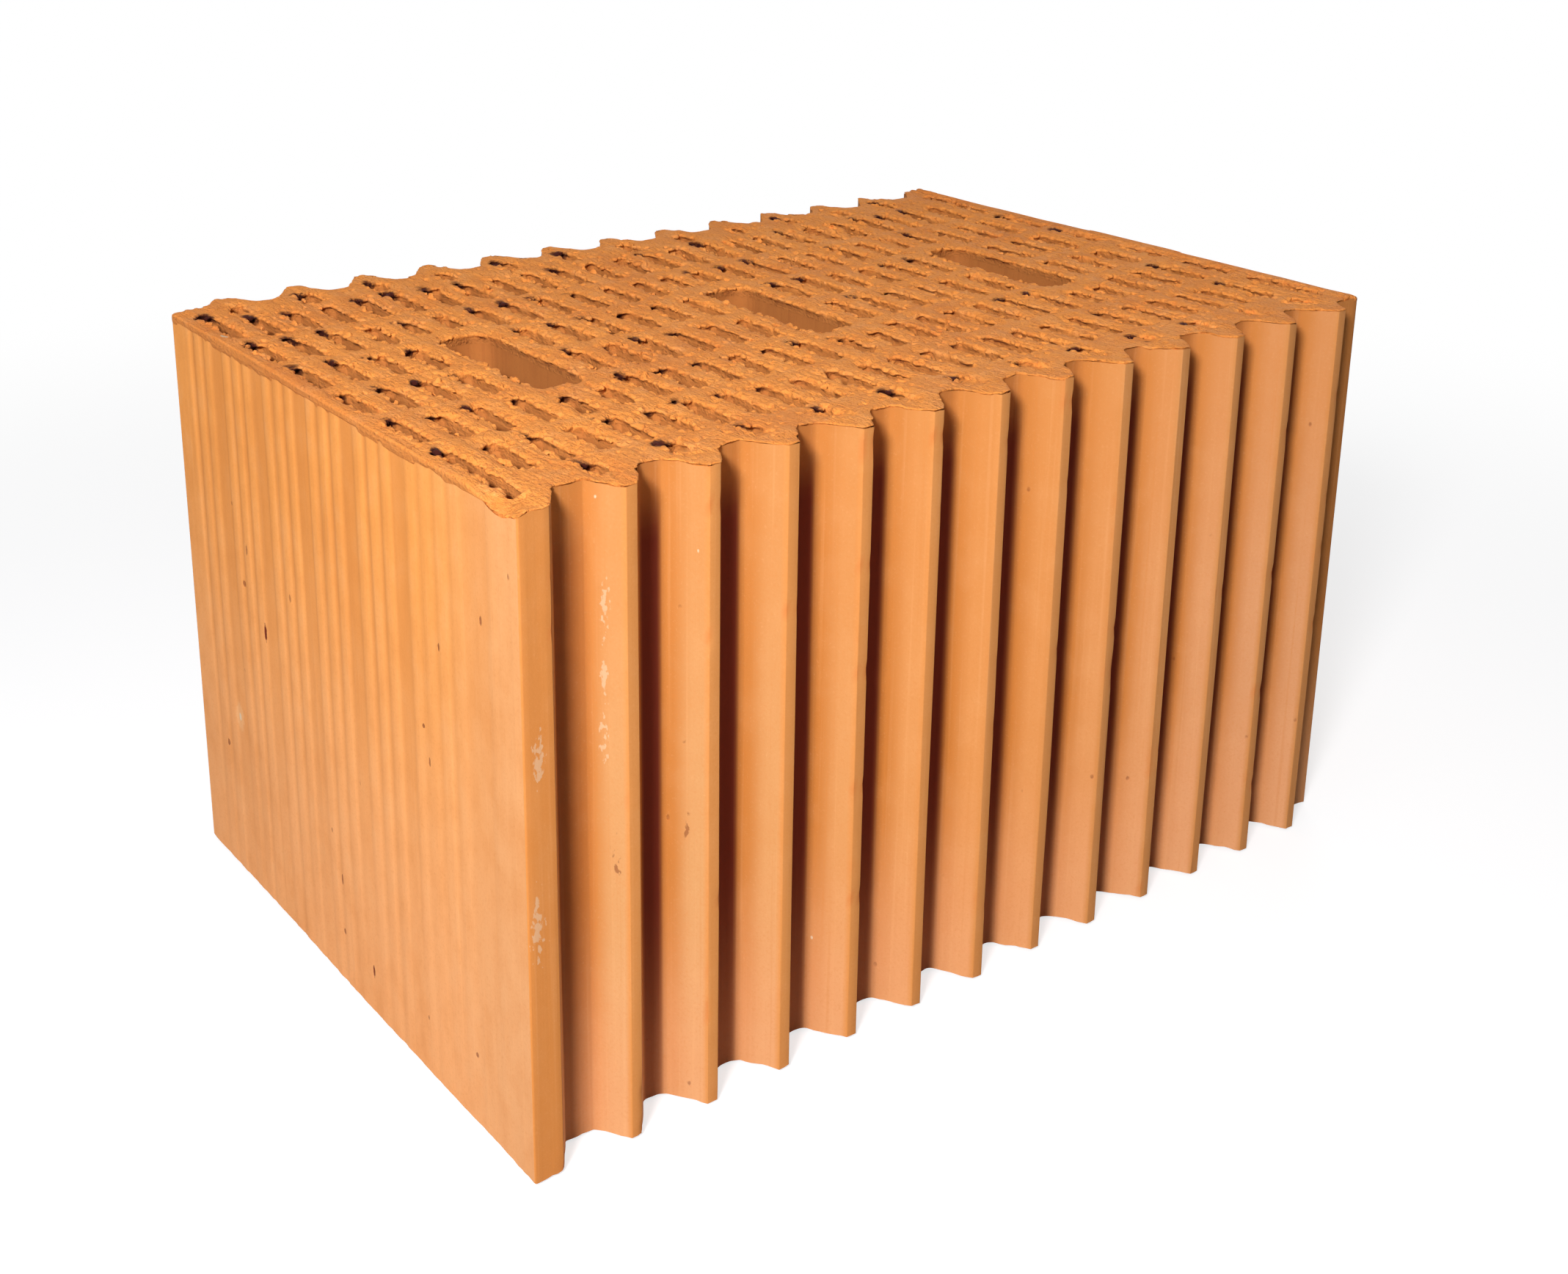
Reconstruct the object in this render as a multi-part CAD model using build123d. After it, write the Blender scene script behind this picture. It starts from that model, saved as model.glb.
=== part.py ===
from build123d import *
import os

# Perforated clay brick for a thick wall, one extruded and fired piece. Millimetres, +Z up.
# X runs across the wall, Y along the wall, and the holes stand upright as in the laid brick.
# Both long sides carry the same teeth turned half a turn, so that neighbours interlock dry.

# Size of the brick
BRICK_LENGTH = 380.0
BRICK_HEIGHT = 219.0
WALL_RUN = 250.0
JOINT_PLAY = 3.0

# Teeth of the long sides
TOOTH_COUNT = 12
TOOTH_DEPTH = 13.0
TOOTH_LAND = 4.4
FIRST_GROOVE_ROOM = 1.0
TOOTH_EDGE_RADIUS = 0.8
END_SHARE = 0.1034
FLANK_SHARE = 0.7
ROOT_ROUND_SHARE = 0.5

# Slots in columns across the wall and rows along it
ROW_COUNT = 6
SLOT_WIDTH = 8.5
END_SLOT_WIDTH = 7.0
SLOT_WEB = 7.0
SLOT_CORNER = 2.0
ROW_MARGIN = 26.5
TOOTH_HOLE_LENGTH = 13.5
TOOTH_HOLE_WEB = 4.5
END_SLOT_REACH = 7.0

# Grip holes, each as wide as two columns
GRIP_SPACING_COLUMNS = 8
GRIP_COUNT = 3
GRIP_LENGTH = 74.0
GRIP_WIDTH = 22.0
GRIP_CORNER = 8.0
GRIP_WEB = 8.0

# Shallow flutes of the plaster faces, with even beads between them. From the pier inwards come a plain
# band, a sunk strip and a few narrow flutes, and then one wide flute and two narrow ones in turn.
PLAIN_BAND = 18.5
SUNK_STRIP = 14.5
BEAD_WIDTH = 6.7
NARROW_FLUTE = 2.4
WIDE_FLUTE = 9.6
FLUTE_DEPTH = 0.6
FLUTE_SLOPE_SHARE = 0.35
LEAD_FLUTE_COUNT = 3
FLUTES_IN_TURN = 3

# Values that follow from the ones above
half_length = BRICK_LENGTH / 2
brick_width = WALL_RUN + TOOTH_DEPTH - JOINT_PLAY
tip_line = brick_width / 2
root_line = tip_line - TOOTH_DEPTH
shelf_depth = TOOTH_DEPTH - JOINT_PLAY
first_groove_depth = shelf_depth + FIRST_GROOVE_ROOM
plaster_width = brick_width - shelf_depth
tooth_pitch = BRICK_LENGTH / (TOOTH_COUNT + 1 + END_SHARE)
column_pitch = tooth_pitch / 2
column_count = 2 * (TOOTH_COUNT + 1)
half_land = TOOTH_LAND / 2
flank_run = FLANK_SHARE * (tooth_pitch - TOOTH_LAND) / 2
root_flat = tooth_pitch - TOOTH_LAND - 2 * flank_run
row_pitch = (brick_width - 2 * ROW_MARGIN) / ROW_COUNT
slot_length = row_pitch - SLOT_WEB


def column_x(column):
    """Middle of a slot column; every second one lies behind a tooth."""
    return (column - (column_count - 1) / 2) * column_pitch


def row_y(row):
    """Middle of a slot row."""
    return (row - (ROW_COUNT - 1) / 2) * row_pitch


def flank_to(depth):
    """Run of a flank from a land down to a depth."""
    return flank_run * depth / TOOTH_DEPTH


def toothed_side():
    """Near long side: the pier, a shallower first groove, the teeth and the shelf for the next brick's pier."""
    land_end = column_x(0) + half_land
    points = [(-half_length, -tip_line), (land_end, -tip_line)]
    depth = first_groove_depth
    for tooth in range(1, TOOTH_COUNT + 1):
        middle = column_x(2 * tooth)
        points.append((land_end + flank_to(depth), depth - tip_line))
        points.append((middle - half_land - flank_to(depth), depth - tip_line))
        points.append((middle - half_land, -tip_line))
        points.append((middle + half_land, -tip_line))
        land_end = middle + half_land
        depth = TOOTH_DEPTH
    points.append((land_end + flank_to(shelf_depth), shelf_depth - tip_line))
    points.append((half_length, shelf_depth - tip_line))
    return points


def flute_spans():
    """Start and end of each flute of a plaster face, measured from the pier's corner."""
    spans = []
    start, end = PLAIN_BAND, PLAIN_BAND + SUNK_STRIP
    while end + BEAD_WIDTH < plaster_width:
        spans.append((start, end))
        after_lead = len(spans) - 1 - LEAD_FLUTE_COUNT
        is_wide = after_lead >= 0 and after_lead % FLUTES_IN_TURN == 0
        start = end + BEAD_WIDTH
        end = start + (WIDE_FLUTE if is_wide else NARROW_FLUTE)
    return spans


def fluted_end():
    """Plaster face from the shelf up to the pier of the far side."""
    slope = FLUTE_SLOPE_SHARE * NARROW_FLUTE
    floor_x = half_length - FLUTE_DEPTH
    points = []
    for start, end in reversed(flute_spans()):
        points.append((half_length, tip_line - end))
        points.append((floor_x, tip_line - end + slope))
        points.append((floor_x, tip_line - start - slope))
        points.append((half_length, tip_line - start))
    return points


def turned(points):
    """The same points after half a turn about the upright axis."""
    return [(-x, -y) for x, y in points]


def grip_columns():
    """Pairs of columns that the grip holes take up."""
    first = (column_count - 2 - GRIP_SPACING_COLUMNS * (GRIP_COUNT - 1)) // 2
    return [first + GRIP_SPACING_COLUMNS * grip for grip in range(GRIP_COUNT)]


def near_half_spans(column):
    """Low and high Y of the slots on the near half of one column, outermost first."""
    spans = []
    for row in range(ROW_COUNT // 2):
        spans.append((row_y(row) - slot_length / 2, row_y(row) + slot_length / 2))
    outer_low, outer_high = spans[0]
    hole_high = outer_low - TOOTH_HOLE_WEB
    hole_low = hole_high - TOOTH_HOLE_LENGTH
    if column == 0:
        spans[0] = (hole_low, outer_high)
    elif column == column_count - 1:
        spans[0] = (outer_low - END_SLOT_REACH, outer_high)
    elif column % 2 == 0:
        spans.insert(0, (hole_low, hole_high))
    return spans


def grip_cut_back(spans):
    """Slots of a grip column on the near half, ended short of the grip hole."""
    limit = -GRIP_LENGTH / 2 - GRIP_WEB
    return [(low, min(high, limit)) for low, high in spans if low < limit - SLOT_WEB]


def near_half_slots():
    """Middle, width and length of every slot on the near half of the brick."""
    gripped = [column + side for column in grip_columns() for side in (0, 1)]
    slots = []
    for column in range(column_count):
        spans = near_half_spans(column)
        if column in gripped:
            spans = grip_cut_back(spans)
        width = END_SLOT_WIDTH if column in (0, column_count - 1) else SLOT_WIDTH
        for low, high in spans:
            slots.append((column_x(column), (low + high) / 2, width, high - low))
    return slots


half_outline = toothed_side() + fluted_end()

with BuildSketch() as outline:
    with BuildLine():
        Polyline(*half_outline, *turned(half_outline), close=True)
    make_face()
    corners = outline.vertices()
    roots = [v for v in corners if abs(abs(v.Y) - root_line) < FLUTE_DEPTH and abs(v.X) < half_length - FLUTE_DEPTH]
    fillet(roots, ROOT_ROUND_SHARE * root_flat)
    corners = outline.vertices()
    tips = [v for v in corners if abs(abs(v.Y) - tip_line) < FLUTE_DEPTH]
    fillet(tips, TOOTH_EDGE_RADIUS)

holes = []
for x, y, width, length in near_half_slots():
    slot = chamfer(Rectangle(width, length).vertices(), SLOT_CORNER)
    holes += [Pos(x, y) * slot, Pos(-x, -y) * slot]
for column in grip_columns():
    holes.append(Pos(column_x(column) + column_pitch / 2) * RectangleRounded(GRIP_WIDTH, GRIP_LENGTH, GRIP_CORNER))

section = outline.sketch - holes
clay_brick = extrude(section, BRICK_HEIGHT)

os.makedirs("parts", exist_ok=True)
export_step(clay_brick, "parts/clay_brick.step")
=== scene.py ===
import itertools
import math

import bpy
import numpy as np
from mathutils import Matrix


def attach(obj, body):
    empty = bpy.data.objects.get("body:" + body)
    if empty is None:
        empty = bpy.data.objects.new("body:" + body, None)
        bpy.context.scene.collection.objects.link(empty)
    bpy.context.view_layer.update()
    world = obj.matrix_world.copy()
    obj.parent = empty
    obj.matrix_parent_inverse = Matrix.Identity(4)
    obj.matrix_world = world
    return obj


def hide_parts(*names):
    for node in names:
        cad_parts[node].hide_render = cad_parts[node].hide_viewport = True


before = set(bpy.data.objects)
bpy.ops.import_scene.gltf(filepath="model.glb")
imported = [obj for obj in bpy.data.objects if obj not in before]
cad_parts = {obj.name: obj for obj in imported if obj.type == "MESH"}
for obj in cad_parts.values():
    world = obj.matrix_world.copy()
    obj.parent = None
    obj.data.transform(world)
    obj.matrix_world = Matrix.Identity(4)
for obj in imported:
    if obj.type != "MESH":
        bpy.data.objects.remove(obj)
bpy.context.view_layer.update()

# Sizes of the brick in millimetres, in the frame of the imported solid
HALF_LENGTH = 190.0
TIP_LINE = 130.0
ROOT_LINE = 117.0
HEIGHT = 219.0
TOOTH_COUNT = 12
TOOTH_DEPTH = 13.0
FIRST_GROOVE_DEPTH = 11.0
SHELF_DEPTH = 10.0
HALF_LAND = 2.2
FLANK_RUN = 8.61
TIP_RADIUS = 0.8
ROOT_RADIUS = 3.6
CREASE_RADIUS = 0.5
CORNER_RADIUS = 1.1
COLUMN_PITCH = 14.5
COLUMN_COUNT = 26
ROW_PITCH = 34.5
SLOT_WIDTH = 8.5
END_SLOT_WIDTH = 7.0
SLOT_LENGTH = 27.5
SLOT_CORNER = 2.0
TOOTH_HOLE_WEB = 4.5
TOOTH_HOLE_LENGTH = 13.5
END_SLOT_REACH = 7.0
GRIP_COLUMNS = (4, 12, 20)
GRIP_LENGTH = 74.0
GRIP_WIDTH = 22.0
GRIP_CORNER = 8.0
GRIP_WEB = 8.0

# Relief of the extruded walls
WALL_SET_BACK = 0.45
PLAIN_BAND = 18.5
SUNK_STRIP = 14.5
BEAD_WIDTH = 6.7
NARROW_FLUTE = 2.4
WIDE_FLUTE = 9.6
FLUTE_DEPTH = 0.55
LEAD_FLUTES = 3
FLUTES_IN_TURN = 3

# Steps along the outline, rows up the walls, and cells of the torn faces
SIDE_STEP = 2.0
SIDE_ARC_STEP = 0.8
FACE_STEP = 0.95
PLAN_STEP = 400.0
PLAN_ARC_STEP = 1.2
SIDE_ROWS = 54
FACE_ROWS = 56
SLOT_ROWS = 6
GRIP_ROWS = 12
HOLE_WALL_INSET = 5
UPPER_CELL = 0.72
LOWER_CELL = 1.7
UPPER_STRIPS = 4
LOWER_STRIPS = 1
FIELD_START = 1.4
FIELD_END = 1.5
LEAST_CORNERS = 60
CRUMB_COUNT = 8500
PIT_COUNT = 1500
MILLIMETRE = 0.001


def scatter(marks):
    """Even random numbers from 0 to 1 out of whole numbers."""
    marks = marks & 0xFFFFFFFF
    marks = ((marks ^ (marks >> 15)) * 0x2C1B3C6D) & 0xFFFFFFFF
    marks = ((marks ^ (marks >> 12)) * 0x297A2D39) & 0xFFFFFFFF
    return (marks ^ (marks >> 15)) / 0xFFFFFFFF


def lumps(seed, *axes):
    """Smooth uneven values from -1 to 1; each axis is a pair of places and the size of a lump."""
    cells, parts = [], []
    for places, size in axes:
        scaled = np.asarray(places, float) / size
        cell = np.floor(scaled)
        part = scaled - cell
        cells.append(cell.astype(np.int64))
        parts.append(part * part * (3 - 2 * part))
    total = 0.0
    for corner in itertools.product((0, 1), repeat=len(axes)):
        share, mark = 1.0, np.int64(seed * 7919)
        for cell, part, step, prime in zip(cells, parts, corner, (73856093, 19349663, 83492791)):
            share = share * (part if step else 1 - part)
            mark = mark + (cell + step) * prime
        total = total + share * scatter(mark)
    return 2 * total - 1


def eased(values, low, high):
    """0 up to low, 1 from high on, and a smooth rise between them."""
    part = np.clip((values - low) / (high - low), 0, 1)
    return part * part * (3 - 2 * part)


def rounder_of(first, second, width):
    """The larger of two distances, with the corner between them rounded."""
    blend = np.clip(1 - np.abs(first - second) / width, 0, 1)
    return np.maximum(first, second) + blend * blend * width / 4


def column_x(column):
    return (column - (COLUMN_COUNT - 1) / 2) * COLUMN_PITCH


def row_y(row):
    return (row - 2.5) * ROW_PITCH


def tooth_corners():
    """Corners of the near long side from the pier to the shelf, each with the radius that rounds it."""
    land_end = column_x(0) + HALF_LAND
    corners = [(-HALF_LENGTH, -TIP_LINE, CORNER_RADIUS), (land_end, -TIP_LINE, TIP_RADIUS)]
    depth, rounding = FIRST_GROOVE_DEPTH, CREASE_RADIUS
    for tooth in range(1, TOOTH_COUNT + 1):
        middle = column_x(2 * tooth)
        run = FLANK_RUN * depth / TOOTH_DEPTH
        corners.append((land_end + run, depth - TIP_LINE, rounding))
        corners.append((middle - HALF_LAND - run, depth - TIP_LINE, rounding))
        corners.append((middle - HALF_LAND, -TIP_LINE, TIP_RADIUS))
        corners.append((middle + HALF_LAND, -TIP_LINE, TIP_RADIUS))
        land_end = middle + HALF_LAND
        depth, rounding = TOOTH_DEPTH, ROOT_RADIUS
    corners.append((land_end + FLANK_RUN * SHELF_DEPTH / TOOTH_DEPTH, SHELF_DEPTH - TIP_LINE, CREASE_RADIUS))
    corners.append((HALF_LENGTH, SHELF_DEPTH - TIP_LINE, CORNER_RADIUS))
    return corners


def straight_run(start, end, step):
    """Points from start up to, but not at, end."""
    count = max(1, math.ceil(np.hypot(*(end - start)) / step))
    return [start + (end - start) * i / count for i in range(count)]


def rounded_run(corners, before, after, step, arc_step):
    """Points along a run of rounded corners and the straights between them."""
    places = [np.array(c[:2]) for c in corners]
    around = [np.array(before)] + places + [np.array(after)]
    points = []
    for i, (here, corner) in enumerate(zip(places, corners)):
        back, on = around[i] - here, around[i + 2] - here
        back, on = back / np.hypot(*back), on / np.hypot(*on)
        half_angle = math.acos(np.clip(back @ on, -1, 1)) / 2
        reach = corner[2] / math.tan(half_angle)
        start, end = here + back * reach, here + on * reach
        middle = here + (back + on) / np.hypot(*(back + on)) * corner[2] / math.sin(half_angle)
        if points:
            points += straight_run(points.pop(), start, step)
        turn = math.pi - 2 * half_angle
        pieces = max(2, math.ceil(turn * corner[2] / arc_step))
        first, last = start - middle, end - middle
        for share in np.linspace(0, 1, pieces + 1):
            swept = math.sin((1 - share) * turn) * first + math.sin(share * turn) * last
            points.append(middle + swept / math.sin(turn))
    return np.array(points)


BEFORE_SIDE, AFTER_SIDE = (-HALF_LENGTH, ROOT_LINE), (HALF_LENGTH, TIP_LINE)
NEAR_SIDE = rounded_run(tooth_corners(), BEFORE_SIDE, AFTER_SIDE, SIDE_STEP, SIDE_ARC_STEP)
FLUTED_END = np.array(straight_run(NEAR_SIDE[-1], -NEAR_SIDE[0], FACE_STEP) + [-NEAR_SIDE[0]])
PLAN = rounded_run(tooth_corners(), BEFORE_SIDE, AFTER_SIDE, PLAN_STEP, PLAN_ARC_STEP)
OUTLINE = np.concatenate([PLAN, -PLAN])


def near_half_spans(column):
    """Low and high Y of the slots on the near half of one column, outermost first."""
    spans = [(row_y(row) - SLOT_LENGTH / 2, row_y(row) + SLOT_LENGTH / 2) for row in range(3)]
    hole_high = spans[0][0] - TOOTH_HOLE_WEB
    hole_low = hole_high - TOOTH_HOLE_LENGTH
    if column == 0:
        spans[0] = (hole_low, spans[0][1])
    elif column == COLUMN_COUNT - 1:
        spans[0] = (spans[0][0] - END_SLOT_REACH, spans[0][1])
    elif column % 2 == 0:
        spans.insert(0, (hole_low, hole_high))
    if column in GRIP_COLUMNS or column - 1 in GRIP_COLUMNS:
        limit = -GRIP_LENGTH / 2 - GRIP_WEB
        spans = [(low, min(high, limit)) for low, high in spans if low < limit - GRIP_WEB]
    return spans


def all_slots():
    """Middle, width and length of every slot."""
    slots = []
    for column in range(COLUMN_COUNT):
        width = END_SLOT_WIDTH if column in (0, COLUMN_COUNT - 1) else SLOT_WIDTH
        for low, high in near_half_spans(column):
            slots.append((column_x(column), (low + high) / 2, width, high - low))
    return slots + [(-x, -y, width, length) for x, y, width, length in slots]


SLOTS = all_slots()
GRIPS = [(column_x(column) + COLUMN_PITCH / 2, 0.0) for column in GRIP_COLUMNS]


def scooped(x, y):
    """1 in the smooth scoop at the pier's corner, falling to 0 around it."""
    return np.exp(-((x + HALF_LENGTH) / 7) ** 2 - ((y + TIP_LINE - 11) / 11) ** 2)


def bed_drop(x, y, dish, scoop, seed):
    """How far the torn face lies below the flat bed."""
    inward = np.minimum(HALF_LENGTH - np.abs(x), ROOT_LINE + 4 - np.abs(y))
    shell = eased(np.abs(x), HALF_LENGTH - 9, HALF_LENGTH - 6)
    outer = eased(np.abs(y), ROOT_LINE - 3, ROOT_LINE + 2)
    drop = 0.6 + dish * eased(inward, 2, 40)
    drop = drop + 0.3 * lumps(seed, (x, 31), (y, 44)) * eased(inward, 0, 25)
    drop = drop + 0.36 * lumps(seed + 1, (x, 6.5), (y, 12)) * (1 - 0.6 * shell)
    drop = drop + (0.14 + 0.55 * shell) * lumps(seed + 2, (x, 2.0), (y, 60))
    drop = drop + 0.16 * lumps(seed + 3, (x, 4.1), (y, 80))
    ragged_rim = 0.3 * lumps(seed + 4, (x, 5), (y, 5)) + 0.22 * lumps(seed + 5, (x, 2.1), (y, 2.1))
    drop = drop + outer * ragged_rim
    drop = drop + scoop * scooped(x, y)
    return np.maximum(drop, 0.1)


UPPER_BED = {"dish": 1.25, "scoop": 4.2, "seed": 11}
LOWER_BED = {"dish": 0.5, "scoop": 0.0, "seed": 57}


def skin_arrays(grid):
    """Corners and four-sided faces of a grid of points, rows along its first axis."""
    count, levels = grid.shape[:2]
    number = np.arange(count * levels).reshape(count, levels)
    faces = np.stack([number[:-1, :-1], number[1:, :-1], number[1:, 1:], number[:-1, 1:]], -1)
    return grid.reshape(-1, 3), faces.reshape(-1, 4)


def clay_piece(name, corners, faces, finish, shades=None, normals=None):
    """A smooth mesh of the brick that stands for the solid and moves with it."""
    mesh = bpy.data.meshes.new(name)
    mesh.from_pydata((corners * MILLIMETRE).tolist(), [], faces.tolist())
    mesh.shade_smooth()
    for shade, values in (shades or {}).items():
        layer = mesh.attributes.new(shade, "FLOAT", "POINT")
        layer.data.foreach_set("value", values.astype(np.float32).ravel())
    if normals is not None:
        mesh.normals_split_custom_set_from_vertices(normals.tolist())
    mesh.materials.append(finish)
    piece = bpy.data.objects.new(name, mesh)
    bpy.context.scene.collection.objects.link(piece)
    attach(piece, "root")
    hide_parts("clay_brick")
    return piece


def clay_strips(name, count, corners, faces, finish, shades):
    """A fine mesh as strips side by side along X that shade as one."""
    first, second, third, fourth = (corners[faces[:, k]] for k in range(4))
    square = np.cross(third - first, fourth - second)
    normals = np.zeros(corners.shape)
    for k in range(4):
        np.add.at(normals, faces[:, k], square)
    normals /= np.maximum(np.linalg.norm(normals, axis=1), 1e-9)[:, None]
    share = (corners[faces].mean(axis=1)[:, 0] + HALF_LENGTH) / (2 * HALF_LENGTH)
    strip = np.clip((share * count).astype(int), 0, count - 1)
    for k in range(count):
        used, numbered = np.unique(faces[strip == k], return_inverse=True)
        clay_piece(f"{name}_{k + 1}", corners[used], numbered.reshape(-1, 4), finish,
                   {shade: values[used] for shade, values in shades.items()}, normals[used])


def wall_levels(x, y, count):
    """Heights of the wall's points, from inside the lower torn face to inside the upper one."""
    low = bed_drop(x, y, **LOWER_BED) + 0.7
    high = HEIGHT - bed_drop(x, y, **UPPER_BED) - 0.7
    share = np.linspace(0, 1, count)
    return low[:, None] + (high - low)[:, None] * share


def outward(points, end_normals):
    """Unit directions that point out of the brick along a run of its outline."""
    along = np.gradient(points, axis=0)
    normals = np.stack([along[:, 1], -along[:, 0]], -1)
    normals /= np.linalg.norm(normals, axis=1)[:, None]
    normals[0], normals[-1] = end_normals
    return normals


def flute_spans():
    """Start and end of each flute of a plaster face, measured from the pier's corner."""
    spans = []
    start, end = PLAIN_BAND, PLAIN_BAND + SUNK_STRIP
    while end + BEAD_WIDTH < 2 * TIP_LINE - SHELF_DEPTH:
        spans.append((start, end))
        after_lead = len(spans) - 1 - LEAD_FLUTES
        is_wide = after_lead >= 0 and after_lead % FLUTES_IN_TURN == 0
        start = end + BEAD_WIDTH
        end = start + (WIDE_FLUTE if is_wide else NARROW_FLUTE)
    return spans


def flute_relief(across, height):
    """How deep a plaster face lies in its flutes and between its beads, from 0 to 1, and their shade."""
    place = across + 0.4 * lumps(31, (across, 30), (height, 75))
    into = np.full(place.shape, -100.0)
    for start, end in flute_spans():
        into = np.maximum(into, np.minimum(place - start, end - place))
    away = np.clip(-into / (BEAD_WIDTH / 2), 0, 1)
    depth = 1 - np.sqrt(away * (2 - away))
    strength = np.interp(across, (0, 18, 24, 62, 70, 300), (0.5, 0.5, 0.45, 0.5, 1, 1))
    showing = np.interp(height, (0, 40, 110, 165), (0.05, 0.22, 0.65, 1))
    depth = depth * strength * np.interp(height, (0, 60, 140), (0.25, 0.55, 1))
    return depth, eased(into, -0.9, 0.4) * strength * showing


def fluted_face(turn):
    """Grid and flute shade of one plaster face; turn is 1 for the right end and -1 for the left one."""
    points = turn * FLUTED_END
    x, y = points.T
    z = wall_levels(x, y, FACE_ROWS)
    across = np.broadcast_to((TIP_LINE - turn * y)[:, None], z.shape)
    depth, shade = flute_relief(across, z)
    edge_fade = eased(np.minimum(across - 1, 2 * TIP_LINE - SHELF_DEPTH - across - 1), 0, 5)
    uneven = 0.16 * lumps(32, (across, 40), (z, 60)) + 0.07 * lumps(33, (across, 2.2), (z, 90))
    relief = -WALL_SET_BACK - FLUTE_DEPTH * depth + np.minimum(uneven, 0.2) * edge_fade
    grid = np.stack([x[:, None] + turn * relief, np.broadcast_to(y[:, None], z.shape), z], -1)
    return grid, shade


def toothed_side(turn):
    """Grid and shades of one long side; turn is 1 for the near side and -1 for the far one."""
    points = turn * NEAR_SIDE
    x, y = points.T
    z = wall_levels(x, y, SIDE_ROWS)
    normals = outward(points, (np.array([-turn, 0.0]), np.array([turn, 0.0])))
    run = np.concatenate([[0], np.cumsum(np.hypot(*np.diff(points, axis=0).T))])
    fade = eased(np.minimum(run, run[-1] - run), 0.5, 4)[:, None]
    uneven = 0.22 * lumps(41 + turn, (run[:, None], 9), (z, 95))
    uneven = uneven + 0.1 * lumps(44 + turn, (run[:, None], 3.1), (z, 60))
    edges = np.array([c[:2] for c in tooth_corners() if c[2] == TIP_RADIUS]) * turn
    near_edge = np.min(np.hypot(x[:, None] - edges[:, 0], y[:, None] - edges[:, 1]), axis=1)[:, None]
    chips = eased(lumps(47 + turn, (run[:, None], 11), (z, 5)), 0.6, 0.9) * eased(-near_edge, -2.4, -0.5)
    relief = -WALL_SET_BACK + np.minimum(uneven, 0.25) * fade - 0.35 * chips * fade
    plan = points[:, None, :] + normals[:, None, :] * relief[..., None]
    depth = TIP_LINE - np.abs(y)
    # Painted shade: the roots between the teeth are painted dark where the teeth shade them, reaching further
    # up towards the right; the pier's shadow is painted on the floor beside it, and the paint fades near the
    # top and the foot.
    root = 12.3 - 1.6 * eased(turn * x, -90, 40)
    first_groove_shadow = 0.6 - 0.4 * eased(turn * x, column_x(0) + 9, column_x(2) - 8)
    in_first = turn * x < column_x(2)
    groove = np.where(in_first, first_groove_shadow * eased(depth, 10.2, 10.9), eased(depth, root, 12.95))
    groove = groove * (turn * x < column_x(COLUMN_COUNT - 2))
    fading = 0.85 * eased(z, HEIGHT - 26, HEIGHT - 4) + 0.4 * eased(-z, -80, 0)
    shades = {"chip": chips, "groove": groove[:, None] * (1 - fading)}
    # The land shade marks the lands; the flank shade marks the deep part of each flank, which is painted
    # darker as shade towards the root.
    for name, values in (("land", eased(-depth, -1.1, -0.5)), ("flank", eased(depth, 4.5, 11))):
        shades[name] = np.broadcast_to(values[:, None], z.shape)
    return np.concatenate([plan, z[..., None]], -1), shades


def joined(grids):
    """Several skins as one set of corners and faces."""
    corners, faces, start = [], [], 0
    for grid in grids:
        points, quads = skin_arrays(grid)
        corners.append(points)
        faces.append(quads + start)
        start += len(points)
    return np.concatenate(corners), np.concatenate(faces)


def upright_hole(ring, levels):
    """Grid of the wall of a hole, facing into it; ring runs anticlockwise."""
    ring = np.concatenate([ring, ring[:1]])[::-1]
    grid = np.zeros((len(ring), len(levels), 3))
    grid[..., :2] = ring[:, None, :]
    grid[..., 2] = levels
    return grid


def slot_ring(x, y, width, length):
    """Outline of a slot with cut corners."""
    across, along, cut = width / 2, length / 2, SLOT_CORNER
    quarter = [(across, along - cut), (across - cut, along)]
    ring = quarter + [(-a, b) for a, b in quarter[::-1]]
    ring = ring + [(-a, -b) for a, b in ring]
    return np.array(ring) + (x, y)


def grip_ring(x, y):
    """Outline of a grip hole with round corners."""
    ring = []
    for corner in range(4):
        across = (GRIP_WIDTH / 2 - GRIP_CORNER) * (1, -1, -1, 1)[corner]
        along = (GRIP_LENGTH / 2 - GRIP_CORNER) * (1, 1, -1, -1)[corner]
        for share in np.linspace(0, 1, 7):
            angle = (corner + share) * math.pi / 2
            aside, ahead = GRIP_CORNER * math.cos(angle), GRIP_CORNER * math.sin(angle)
            ring.append((x + across + aside, y + along + ahead))
    return np.array(ring)


def plan_distance(x, y, loop):
    """Signed distance in plan to a closed loop, below zero inside it."""
    nearest = np.full(x.shape, 1e9)
    inside = np.zeros(x.shape, bool)
    for (ax, ay), (bx, by) in zip(loop, np.roll(loop, -1, axis=0)):
        ex, ey = bx - ax, by - ay
        part = np.clip(((x - ax) * ex + (y - ay) * ey) / (ex * ex + ey * ey), 0, 1)
        nearest = np.minimum(nearest, (x - ax - part * ex) ** 2 + (y - ay - part * ey) ** 2)
        if ay != by:
            inside ^= ((ay > y) != (by > y)) & (x < ex * (y - ay) / ey + ax)
    return np.where(inside, -1, 1) * np.sqrt(nearest)


def box_distance(x, y, middle, width, length, rounding):
    """Signed distance in plan to a rectangle with rounded corners, below zero inside it."""
    across = np.abs(x - middle[0]) - width / 2 + rounding
    along = np.abs(y - middle[1]) - length / 2 + rounding
    outside = np.hypot(np.maximum(across, 0), np.maximum(along, 0))
    return outside + np.minimum(np.maximum(across, along), 0) - rounding


def window(places, low, high):
    """The part of an even row of places between two limits."""
    return slice(int(np.searchsorted(places, low)), int(np.searchsorted(places, high)))


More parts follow.
